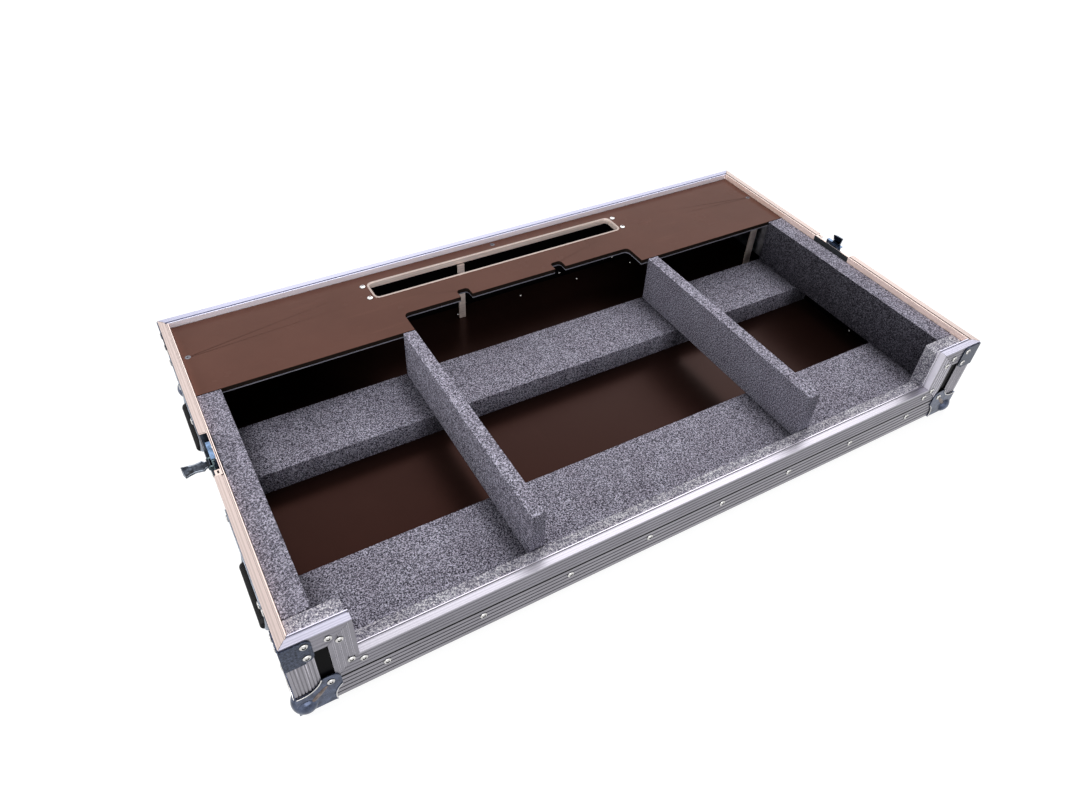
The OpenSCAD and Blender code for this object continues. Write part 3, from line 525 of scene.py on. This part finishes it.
def zinc_material(name, color, roughness=0.28, cloudy=0.35, scale=120, top=None):
    """Zinc plate: a little cloudy, with fine scratches; its highest faces may take another colour, a
    painted reflection.
    """
    zinc = Shader(name, color, roughness, 1.0)
    cloud = zinc.noise(scale, 4, 0.65)
    plate = zinc.mottled(cloud, color, cloudy)
    if top:
        # Painted reflection: faces above that depth take the top colour
        plate = zinc.mix(zinc.calc("GREATER_THAN", zinc.along("Z"), CASE_TOP - PAN_SKIN), plate, top)
    zinc.paint(plate)
    zinc.roughen(cloud, roughness, 0.7, 1.5)
    zinc.bump(zinc.noise(700, 2, 0.5, (1, 0.08, 1)), 0.12)
    return zinc.material


def rubber_material(name):
    rubber = Shader(name, grey(0.003), 0.5)
    grain = rubber.noise(1500)
    rubber.paint(rubber.ramp(rubber.noise(60, 3), (0.3, (0.002, 0.002, 0.0025)),
                             (0.7, (0.005, 0.005, 0.0055))))
    rubber.set(Specular_IOR_Level=0.12, Roughness=rubber.remap(grain, 0.42, 0.62))
    rubber.bump(grain, 0.3)
    return rubber.material


# Finishes
# The pink, blush and pearl colours and the rims' top colours are painted reflections on the rims
PINK_SHEEN = (0.33, 0.275, 0.26)
COOL = (0.31, 0.30, 0.335)
GREY = (0.27, 0.262, 0.295)
WARM_SHEEN = (0.95, 0.79, 0.72)
PALE_SHEEN = (0.9, 0.88, 0.95)
FINISH = {
    "deck": deck_material("deck_laminate", (0.118, 0.054, 0.041), 0.26, 0.03),
    "floor": laminate_material("floor_laminate", (0.011, 0.005, 0.004), 0.3, 0.1, 0.105,
                               (1, 0.3, 0.2)),
    "black": laminate_material("black_laminate", (0.003, 0.0025, 0.003), 0.3, 0.2, 0.02,
                               (0.75, 0.8, 1)),
    "side_rim": rim_material("rim_side", COOL, PINK_SHEEN, WARM_SHEEN, "Y", "X", HALF_X),
    "rear_rim": rim_material("rim_rear", COOL, (0.27, 0.275, 0.36), PALE_SHEEN, "X", "Y", HALF_Y),
    "post_rim": rim_material("rim_post", GREY, (0.3, 0.295, 0.36), PALE_SHEEN, "X", "Y", HALF_Y,
                             post=True),
    "low_rim": rim_material("rim_low", GREY, (0.31, 0.30, 0.34), PALE_SHEEN, "X", "Y", HALF_Y, LOW_TOP),
    "across": extrusion("edge_across", COOL, "X", flutes=ON_EDGES).material,
    "along": extrusion("edge_along", COOL, "Y", flutes=ON_EDGES).material,
    # The uprights' palest streaks are painted highlights
    "upright": extrusion("edge_upright", COOL, "Z", flutes=ON_CORNERS, flute_shade=0.6,
                         streak_highlight=2.4).material,
    "satin": frosted_material("aluminium_frosted", (0.98, 0.84, 0.78), (0.3, 0.25, 0.23)),
    "zinc": zinc_material("zinc", (0.078, 0.093, 0.14), 0.24, 0.6, 90),
    "brace": zinc_material("brace_zinc", (0.05, 0.06, 0.09), 0.3, 0.8, 420),
    "plate": zinc_material("plate_zinc", (0.26, 0.29, 0.34), 0.3),
    "latch": zinc_material("latch_zinc", (0.09, 0.125, 0.135), 0.2, 0.6),
    "pan": zinc_material("pan_zinc", (0.07, 0.09, 0.12), 0.2, 0.6, top=(0.34, 0.28, 0.26)),
    "hook": zinc_material("hook_zinc", (0.07, 0.11, 0.18), 0.16, 0.7, 160),
    "wing": zinc_material("wing_zinc", (0.022, 0.026, 0.034), 0.14, 0.9, 260),
    "bead": zinc_material("bead_zinc", (0.16, 0.13, 0.12), 0.25, 0.4),
    "bright": zinc_material("bright_zinc", (0.62, 0.61, 0.6), 0.2, 0.15),
    "screw": zinc_material("screw_steel", (0.1, 0.1, 0.115), 0.3),
    "rubber": rubber_material("rubber"),
    # The four foams are one foam in lit and shaded copies: their shade factors are painted light and
    # shade, and the last numbers of the side and wall foams are painted shade on faces that look
    # along X.
    "bar_foam": foam_material("bar_foam", 0.8, 0.12, painted_shade=bar_painted_shade()),
    "side_foam": foam_material("side_foam", 0.8, 0.14, 0.3),
    "wall_foam": foam_material("wall_foam", 0.95, 0.13, 0.8),
    "painted_lit_foam": foam_material("painted_lit_foam", 1.25, 0.15),
}
# Finish of the CAD nodes whose names start so, and the width of their broken edges in mm
NODE_FINISH = {
    "floor_panel": ("floor", 0), "rear_deck": ("deck", 0.5), "deck_battens": ("black", 0),
    "front_wall": ("black", 0.4), "left_wall": ("black", 0.4), "right_wall": ("black", 0.4),
    "rear_wall": ("black", 0), "deck_screws": ("screw", 0), "deck_post": ("satin", 0.3),
    "deck_angles": ("satin", 0.3), "slot_liner": ("satin", 0.35),
    "rim_rear": ("rear_rim", 0.3), "rim_left": ("side_rim", 0.3), "rim_right": ("side_rim", 0.3),
    "rim_front": ("low_rim", 0.3), "rim_post": ("post_rim", 0.3),
    "bottom_edge_front": ("across", 0.3), "bottom_edge_rear": ("across", 0.3),
    "bottom_edge_left": ("along", 0.3), "bottom_edge_right": ("along", 0.3),
    "corner_edges": ("upright", 0.25), "corner_braces": ("brace", 0.5),
    "ball_corners": ("zinc", 0), "latch_pan": ("pan", 0.3), "latch_hook": ("hook", 0.3),
    "latch_drum": ("latch", 0.3), "handle_pan": ("plate", 0.7), "handle_bail": ("plate", 0)}
# Seams closer than this are closed
WELD = 1e-6
BREAK_ANGLE = math.radians(30)


def soften(obj, width):
    """Broken edges on a CAD node, by modifiers alone."""
    weld = obj.modifiers.new("weld", "WELD")
    weld.merge_threshold = WELD
    bevel = obj.modifiers.new("bevel", "BEVEL")
    bevel.width = width
    bevel.segments = 2
    bevel.limit_method = "ANGLE"
    bevel.angle_limit = BREAK_ANGLE
    bevel.use_clamp_overlap = True


def dress_nodes():
    """Finishes the CAD nodes that stay in sight. The others are replaced by pieces."""
    for name, obj in NODES.items():
        for start, (finish, broken) in NODE_FINISH.items():
            if not name.startswith(start):
                continue
            obj.data.materials.clear()
            obj.data.materials.append(FINISH[finish])
            if broken:
                soften(obj, broken * MM)


# Mesh helpers
def sized(profile):
    """A profile of radii and heights in mm, in metres."""
    return [(radius * MM, height * MM) for radius, height in profile]


def joined(node):
    """A copy of a node's mesh with its seams closed."""
    mesh = bmesh.new()
    mesh.from_mesh(NODES[node].data)
    bmesh.ops.remove_doubles(mesh, verts=mesh.verts, dist=WELD)
    return mesh


def new_piece(name, mesh, finish, body="case", replaced=(), smooth=35):
    """A mesh as a piece on a body, in place of nodes where they are named.

    Edges that turn by less than the smooth angle, in degrees, are shaded round."""
    bmesh.ops.recalc_face_normals(mesh, faces=mesh.faces)
    data = bpy.data.meshes.new(name)
    mesh.to_mesh(data)
    mesh.free()
    data.materials.append(FINISH[finish])
    data.shade_smooth()
    data.set_sharp_from_angle(angle=math.radians(smooth))
    obj = bpy.data.objects.new(name, data)
    bpy.context.scene.collection.objects.link(obj)
    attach(obj, body)
    if replaced:
        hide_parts(*replaced)
    return obj


def ring(mesh, centre, across, up, count):
    """The points of an ellipse, from its centre and its two half axes."""
    angles = [2 * math.pi * i / count for i in range(count)]
    return [mesh.verts.new(centre + across * math.cos(angle) + up * math.sin(angle))
            for angle in angles]


def band(mesh, low, high, material=0):
    """Faces between two rings, of which one may be a single point."""
    count = max(len(low), len(high))
    for i in range(count):
        j = (i + 1) % count
        if len(low) == 1:
            face = mesh.faces.new((low[0], high[i], high[j]))
        elif len(high) == 1:
            face = mesh.faces.new((low[i], low[j], high[0]))
        else:
            face = mesh.faces.new((low[i], low[j], high[j], high[i]))
        face.material_index = material


def lathe(mesh, profile, place, axis, count=24, shade_bands=()):
    """A turned solid: the profile's radii and heights run along the axis from the place.

    The listed bands take the second material, which on the rivets is painted shade."""
    turn = Vector(axis).to_track_quat("Z", "X").to_matrix()
    across, up, along = turn.transposed()
    rings = []
    for radius, height in profile:
        centre = place + along * height
        if radius:
            rings.append(ring(mesh, centre, across * radius, up * radius, count))
        else:
            rings.append([mesh.verts.new(centre)])
    for step, (low, high) in enumerate(zip(rings, rings[1:])):
        band(mesh, low, high, int(step in shade_bands))


def tube(mesh, points, radii, count, flat, up):
    """A round or flattened bar along points, closed at its ends."""
    rings = []
    for k, (point, radius) in enumerate(zip(points, radii)):
        ahead = points[min(k + 1, len(points) - 1)] - points[max(k - 1, 0)]
        side = ahead.cross(up).normalized()
        rise = side.cross(ahead).normalized()
        rings.append(ring(mesh, point, side * radius, rise * radius * flat, count))
    for low, high in zip(rings, rings[1:]):
        band(mesh, low, high)
    mesh.faces.new(rings[0][::-1])
    mesh.faces.new(rings[-1])


def islands(node):
    """The lowest and highest corners of each loose part of a node, in the mesh's order."""
    mesh = joined(node)
    left = set(mesh.verts)
    found = []
    for start in mesh.verts:
        if start not in left:
            continue
        left.remove(start)
        stack = [start]
        part = [start]
        while stack:
            for edge in stack.pop().link_edges:
                for vertex in edge.verts:
                    if vertex in left:
                        left.remove(vertex)
                        stack.append(vertex)
                        part.append(vertex)
        found.append(tuple(Vector([pick(vertex.co[axis] for vertex in part) for axis in range(3)])
                           for pick in (min, max)))
    mesh.free()
    return found


def bevel_sharp(mesh, angle, width, segments):
    """Rounds the edges of a mesh that turn by more than an angle."""
    edges = [edge for edge in mesh.edges
             if len(edge.link_faces) == 2 and edge.calc_face_angle(0) > angle]
    bmesh.ops.bevel(mesh, geom=edges, offset=width, segments=segments, affect="EDGES", profile=0.5)


def put_in_order(mesh):
    """Sorts a mesh along a slanting line. After an inset its order changes from run to run."""
    slant = Vector((1, 0.618, 0.272))
    mesh.verts.sort(key=lambda vertex: vertex.co.dot(slant))
    mesh.faces.sort(key=lambda face: face.calc_center_median().dot(slant))


# Foam pieces
# Finish of the foams whose names hold these words; the dividers have "wall_foam". The corner blocks
# and the strip take a brighter copy of the foam, which is painted light.
FOAM_FINISH = {"side": "side_foam", "bar": "bar_foam", "corner": "painted_lit_foam", "strip": "painted_lit_foam"}
FOAM_STEP = 30 * MM
FOAM_ROUND = 1.4 * MM
# Angles, in radians: below the first two faces are one, above the second an edge is cut round
FLAT_ANGLE = 0.02
FOAM_SHARP = 0.5
# Depth of the faces' unevenness, and how many of its waves there are in a metre
FOAM_UNEVEN = 0.5 * MM
FOAM_WAVES = 11


def add_foam(node):
    """The node's foam, cut by hand: soft edges and faces that aren't quite flat."""
    mesh = joined(node)
    bmesh.ops.dissolve_limit(mesh, angle_limit=FLAT_ANGLE, verts=mesh.verts, edges=mesh.edges)
    low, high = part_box(node)
    for axis in range(3):
        normal = [0, 0, 0]
        normal[axis] = 1
        long = high[axis] - low[axis]
        count = int(long / FOAM_STEP)
        for i in range(1, count):
            place = list(low)
            place[axis] += i * long / count
            bmesh.ops.bisect_plane(mesh, geom=mesh.verts[:] + mesh.edges[:] + mesh.faces[:],
                                   plane_co=place, plane_no=normal)
    bevel_sharp(mesh, FOAM_SHARP, FOAM_ROUND, segments=3)
    for vertex in mesh.verts:
        share = 0.5 + 0.5 * noise.noise(vertex.co * FOAM_WAVES)
        vertex.co -= vertex.normal * FOAM_UNEVEN * share
    finish = next((FOAM_FINISH[word] for word in FOAM_FINISH if word in node), "wall_foam")
    obj = new_piece(node + "_cut", mesh, finish, replaced=(node,), smooth=40)


# Rivets, as radii and heights in mm
RIVET = [(4.75, 0), (4.75, 0.35), (4.55, 0.6), (4.1, 1.05), (3.5, 1.45), (2.9, 1.7),
         (2.5, 1.8), (2.3, 1.78), (2.15, 1.5), (2.05, 0.8), (1.5, 0.75), (1.25, 1.2),
         (0.8, 1.4), (0, 1.45)]
# The bands of a rivet that take painted shade: its foot and the wall of its dimple
RIVET_SHADE_BANDS = (0, 1, 7, 8, 9, 10)
RIVET_FACES = {"front_rivets": (0, -1, 0), "rear_rivets": (0, 1, 0), "left_rivets": (-1, 0, 0),
               "right_rivets": (1, 0, 0), "slot_rivets": (0, 0, 1)}
TAIL = [(2.6, 0), (2.6, 0.9), (2.2, 1.5), (1.3, 1.9), (0, 2.0)]
# Tails inside the case: x on the rear wall, x on the floor, y and z on each side wall, in mm
TAILS_REAR = (-52, 150, 270, 400, -160, -270, -400)
TAILS_REAR_Z = 20
TAILS_FLOOR = (56, 177, -70, -190, 300, -310)
TAILS_FLOOR_Y = 268
TAILS_SIDE = ((-59, 24), (-135, 24), (-92, 15))


def add_rivets():
    """Blind rivets with a dimpled head, where the CAD has its plain domes."""
    for node, axis in RIVET_FACES.items():
        mesh = bmesh.new()
        axis = Vector(axis)
        for low, high in islands(node):
            foot = (low + high) / 2 - axis * abs((high - low).dot(axis)) / 2
            lathe(mesh, sized(RIVET), foot, axis, shade_bands=RIVET_SHADE_BANDS)
        obj = new_piece(node + "_dimpled", mesh, "bright", replaced=(node,))
        # The dark zinc on those bands is painted shade
        obj.data.materials.append(FINISH["wing"])


def add_rivet_tails():
    """The tails of body rivets, which stand out of the walls and the floor inside the case."""
    rear_z = TAILS_REAR_Z * MM + LIFT
    tails = [(x * MM, REAR_INSIDE, rear_z, (0, -1, 0)) for x in TAILS_REAR]
    tails += [(x * MM, TAILS_FLOOR_Y * MM, FLOOR_TOP, (0, 0, 1)) for x in TAILS_FLOOR]
    tails += [(sign * SIDE_INSIDE, y * MM, z * MM + LIFT, (-sign, 0, 0))
              for y, z in TAILS_SIDE for sign in (-1, 1)]
    mesh = bmesh.new()
    for x, y, z, axis in tails:
        lathe(mesh, sized(TAIL), Vector((x, y, z)), axis, count=16)
    new_piece("rivet_tails", mesh, "bright")


# Ball corners, in mm from the case's corner along a leaf's two edges
BEAD_START = 10
BEAD_LONG = 25
BEAD_R = 3.2
BEAD_FLAT = 0.45
BEAD_OUT = 1.3
BEAD_STEPS = 12
# How much of a half wave a bead's width leaves out at each end, and how blunt the wave is
BEAD_CUT = 0.08
BEAD_BLUNT = 0.6
LIP_R = 0.75
LIP_OUT = 1.7
LIP_FLAT = 0.8
LIP_STEPS = 14
# The round of a leaf's waist: its radius, and how far its middle lies from the leaf's edge
WAIST_R = 26
WAIST_IN = 6
# How far out that middle lies, and the turn of the lip, on an upright edge and a level one
WAIST_UPRIGHT = (59, 87)
WAIST_LEVEL = (68, 65)
WAIST_START = -103
# No lip goes lower than this, where the ball's foot is
LIP_LOWEST = 1.2 * MM


def add_bead(mesh, corner, u, v, out):
    """A pressed bead along a leaf's diagonal, thinner at its ends."""
    points, radii = [], []
    for i in range(BEAD_STEPS + 1):
        share = i / BEAD_STEPS
        points.append(corner + (u + v) * (BEAD_START + BEAD_LONG * share) * MM + out * BEAD_OUT * MM)
        wave = math.sin(math.pi * (BEAD_CUT + (1 - 2 * BEAD_CUT) * share))
        radii.append(BEAD_R * MM * wave ** BEAD_BLUNT)
    tube(mesh, points, radii, 12, BEAD_FLAT, out)


def add_lip(mesh, corner, a, b, out):
    """The rolled lip of a leaf's waist, an arc beside the edge b."""
    reach, turn = WAIST_UPRIGHT if b.z else WAIST_LEVEL
    arc = []
    for i in range(LIP_STEPS + 1):
        angle = math.radians(WAIST_START + turn * i / LIP_STEPS)
        arc.append(corner + a * (WAIST_IN + WAIST_R * math.cos(angle)) * MM
                   + b * (reach + WAIST_R * math.sin(angle)) * MM + out * LIP_OUT * MM)
    arc = [point for point in arc if point.z > LIP_LOWEST]
    tube(mesh, arc, [LIP_R * MM] * len(arc), 8, LIP_FLAT, out)


def add_corner_details():
    """On each leaf of each ball corner: a pressed bead and the rolled lips of its waist, whose
    bright zinc is a painted highlight.
    """
    beads, lips = bmesh.new(), bmesh.new()
    for sx in (-1, 1):
        for sy in (-1, 1):
            corner = Vector((sx * HALF_X, sy * HALF_Y, LIFT))
            inward = (Vector((-sx, 0, 0)), Vector((0, -sy, 0)), Vector((0, 0, 1)))
            for k in range(3):
                u, v = inward[(k + 1) % 3], inward[(k + 2) % 3]
                add_bead(beads, corner, u, v, -inward[k])
                add_lip(lips, corner, u, v, -inward[k])
                add_lip(lips, corner, v, u, -inward[k])
    new_piece("corner_beads", beads, "bead", smooth=50)
    # The lips' bright zinc is a painted highlight
    new_piece("corner_lip_highlights", lips, "bright", smooth=50)


# Handles, in mm
GRIP_HALF = 47.0
GRIP_R = 7.5
GRIP_BORE = 3.05
# The collar at a grip's end: how much smaller it is than the grip, and how far in
GRIP_COLLAR = [(1.6, 0), (0.5, 0.6), (0, 2), (0, 6), (0.5, 6.6)]
RIBS = 32
RIBS_IN = 7.2
RIB_GROOVE = 0.55
RIB_EASE = 0.1
SPRING_R = 3.75
SPRING_WIRE = 0.28
SPRING_END = 0.3
SPRING_TURNS = 3
SPRING_STEPS = 20


def grip_profile():
    """A moulded grip: plain collars at its ends and fine ribs between them."""
    pitch = 2 * (GRIP_HALF - RIBS_IN) / RIBS
    profile = [(GRIP_BORE, -GRIP_HALF)]
    profile += [(GRIP_R - less, -GRIP_HALF + inward) for less, inward in GRIP_COLLAR]
    for i in range(RIBS):
        start = -GRIP_HALF + RIBS_IN + i * pitch
        profile += [(GRIP_R - RIB_GROOVE, start), (GRIP_R - RIB_EASE, start + 0.3 * pitch),
                    (GRIP_R - RIB_EASE, start + 0.7 * pitch)]
    profile.append((GRIP_R - RIB_GROOVE, GRIP_HALF - RIBS_IN))
    profile += [(GRIP_R - less, GRIP_HALF - inward) for less, inward in GRIP_COLLAR[::-1]]
    profile.append((GRIP_BORE, GRIP_HALF))
    return sized(profile + profile[:1])


def add_grips():
    """A ribbed grip of rubber on each handle's wire."""
    for side in ("left", "right"):
        for end in ("front", "rear"):
            node = f"handle_grip_{side}_{end}"
            low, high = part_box(node)
            mesh = bmesh.new()
            lathe(mesh, grip_profile(), (Vector(low) + Vector(high)) / 2, (0, 1, 0), count=32)
            new_piece(node + "_ribbed", mesh, "rubber",
                      f"{side}_{end}_handle", (node,), smooth=25)


def add_springs():
    """Return springs, wound from wire where the CAD has its sleeves."""
    mesh = bmesh.new()
    last = SPRING_TURNS * SPRING_STEPS
    for low, high in islands("handle_springs"):
        long = high.y - low.y - 2 * SPRING_END * MM
        points = []
        for i in range(last + 1):
            angle = 2 * math.pi * i / SPRING_STEPS
            points.append((low + high) / 2 + Vector((
                SPRING_R * MM * math.cos(angle), (i / last - 0.5) * long,
                SPRING_R * MM * math.sin(angle))))
        tube(mesh, points, [SPRING_WIRE * MM] * len(points), 6, 1.0, Vector((0, 1, 0)))
    new_piece("return_springs", mesh, "bright", replaced=("handle_springs",),
              smooth=60)


# Latches, in mm
WING_W = 21.5
WING_T = 2.2
WING_EAR = 5.7
WING_EAR_LONG = 5
# A wing's waist out from its pin, with half widths as shares of its width, and its tip
WING_WAIST_SHARES = ((8, 0.42), (12.5, 0.37), (18.1, 0.34))
WING_TIP = [(24, 0.40 * WING_W), (30.4, 0.5 * WING_W), (32.3, 4.5), (33, -0.44 * WING_W),
            (24, -0.39 * WING_W)]
WING_BORDER = 1.5
WING_STEP = 0.5
WING_SUNK = 0.55
WING_ROUND = 0.4
WING_SHARP = 0.9
WING_EYE = [(1.58, -6), (2.7, -6), (2.9, -5.8), (2.9, 5.8), (2.7, 6), (1.58, 6), (1.58, -6)]
# How far the drum's face lies in from the case's side, and the washer on it
DRUM_IN = 3.8
WASHER = [(10.6, 0), (10.6, 0.25), (10.2, 0.45), (9.4, 0.45), (9.0, 0.2), (9.0, 0)]
HOOK_RIVET = [(2.3, 0), (2.2, 0.5), (1.6, 0.9), (0, 1.0)]
HOOK_RIVETS_Y = 10.5
HOOK_RIVETS_DOWN = 7.5


def wing_outline():
    """The wing from its ears over its waist to its wider tip, which isn't quite even."""
    waist = [(out, share * WING_W) for out, share in WING_WAIST_SHARES]
    near = [(0, WING_EAR), (WING_EAR_LONG, WING_EAR)] + waist
    return near + WING_TIP + [(out, -across) for out, across in near[::-1]]


def add_wing(side):
    """A pressed wing with a raised border, standing out on the left and up on the right; its border,
    step and sides are paler, a painted highlight.
    """
    mesh = bmesh.new()

    def place(out, across, rise):
        if side == "right":
            return Vector((FOLD_X - rise, across, LATCH_Z + out))
        return Vector((-FOLD_X - out, -across, LATCH_Z + rise))

    outlines = [[mesh.verts.new(place(out * MM, across * MM, rise * MM))
                 for out, across in wing_outline()] for rise in (WING_T / 2, -WING_T / 2)]
    sheets = [mesh.faces.new(outline) for outline in outlines]
    band(mesh, *outlines)
    bmesh.ops.recalc_face_normals(mesh, faces=mesh.faces)
    for sheet in sheets:
        for width, rise in ((WING_BORDER, 0), (WING_STEP, -WING_SUNK)):
            bmesh.ops.inset_region(mesh, faces=[sheet], thickness=width * MM, depth=rise * MM)
    # Painted highlight: all but the sunk centres take the paler plate zinc
    for face in mesh.faces:
        face.material_index = int(face not in sheets)
    bevel_sharp(mesh, WING_SHARP, WING_ROUND * MM, segments=2)
    lathe(mesh, sized(WING_EYE), place(0, 0, 0), (0, 1, 0), count=28)
    put_in_order(mesh)
    obj = new_piece(f"{side}_wing_pressed", mesh, "wing",
                    f"{side}_latch_wing", (f"latch_wing_{side}",))
    obj.data.materials.append(FINISH["plate"])


def add_latch(side, sign):
    """The wing, a washer on the drum's face, and the rivets of the hook's claw."""
    add_wing(side)
    mesh = bmesh.new()
    face = Vector((sign * (HALF_X - DRUM_IN * MM), 0, LATCH_Z))
    lathe(mesh, sized(WASHER), face, (sign, 0, 0), count=40)
    new_piece(f"{side}_drum_ring", mesh, "latch", f"{side}_latch_drum")
    mesh = bmesh.new()
    low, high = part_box(f"latch_hook_{side}")
    back = Vector((min(low[0], high[0], key=abs), 0, high[2] - HOOK_RIVETS_DOWN * MM))
    for y in (-HOOK_RIVETS_Y, HOOK_RIVETS_Y):
        lathe(mesh, sized(HOOK_RIVET), back + Vector((0, y * MM, 0)), (-sign, 0, 0), count=18)
    new_piece(f"{side}_hook_rivets", mesh, "bright", f"{side}_latch_hook")


add_camera()
add_stage()
dress_nodes()
for node_name in list(NODES):
    if "foam" in node_name:
        add_foam(node_name)
add_rivets()
add_rivet_tails()
add_corner_details()
add_grips()
add_springs()
add_latch("left", -1)
add_latch("right", 1)
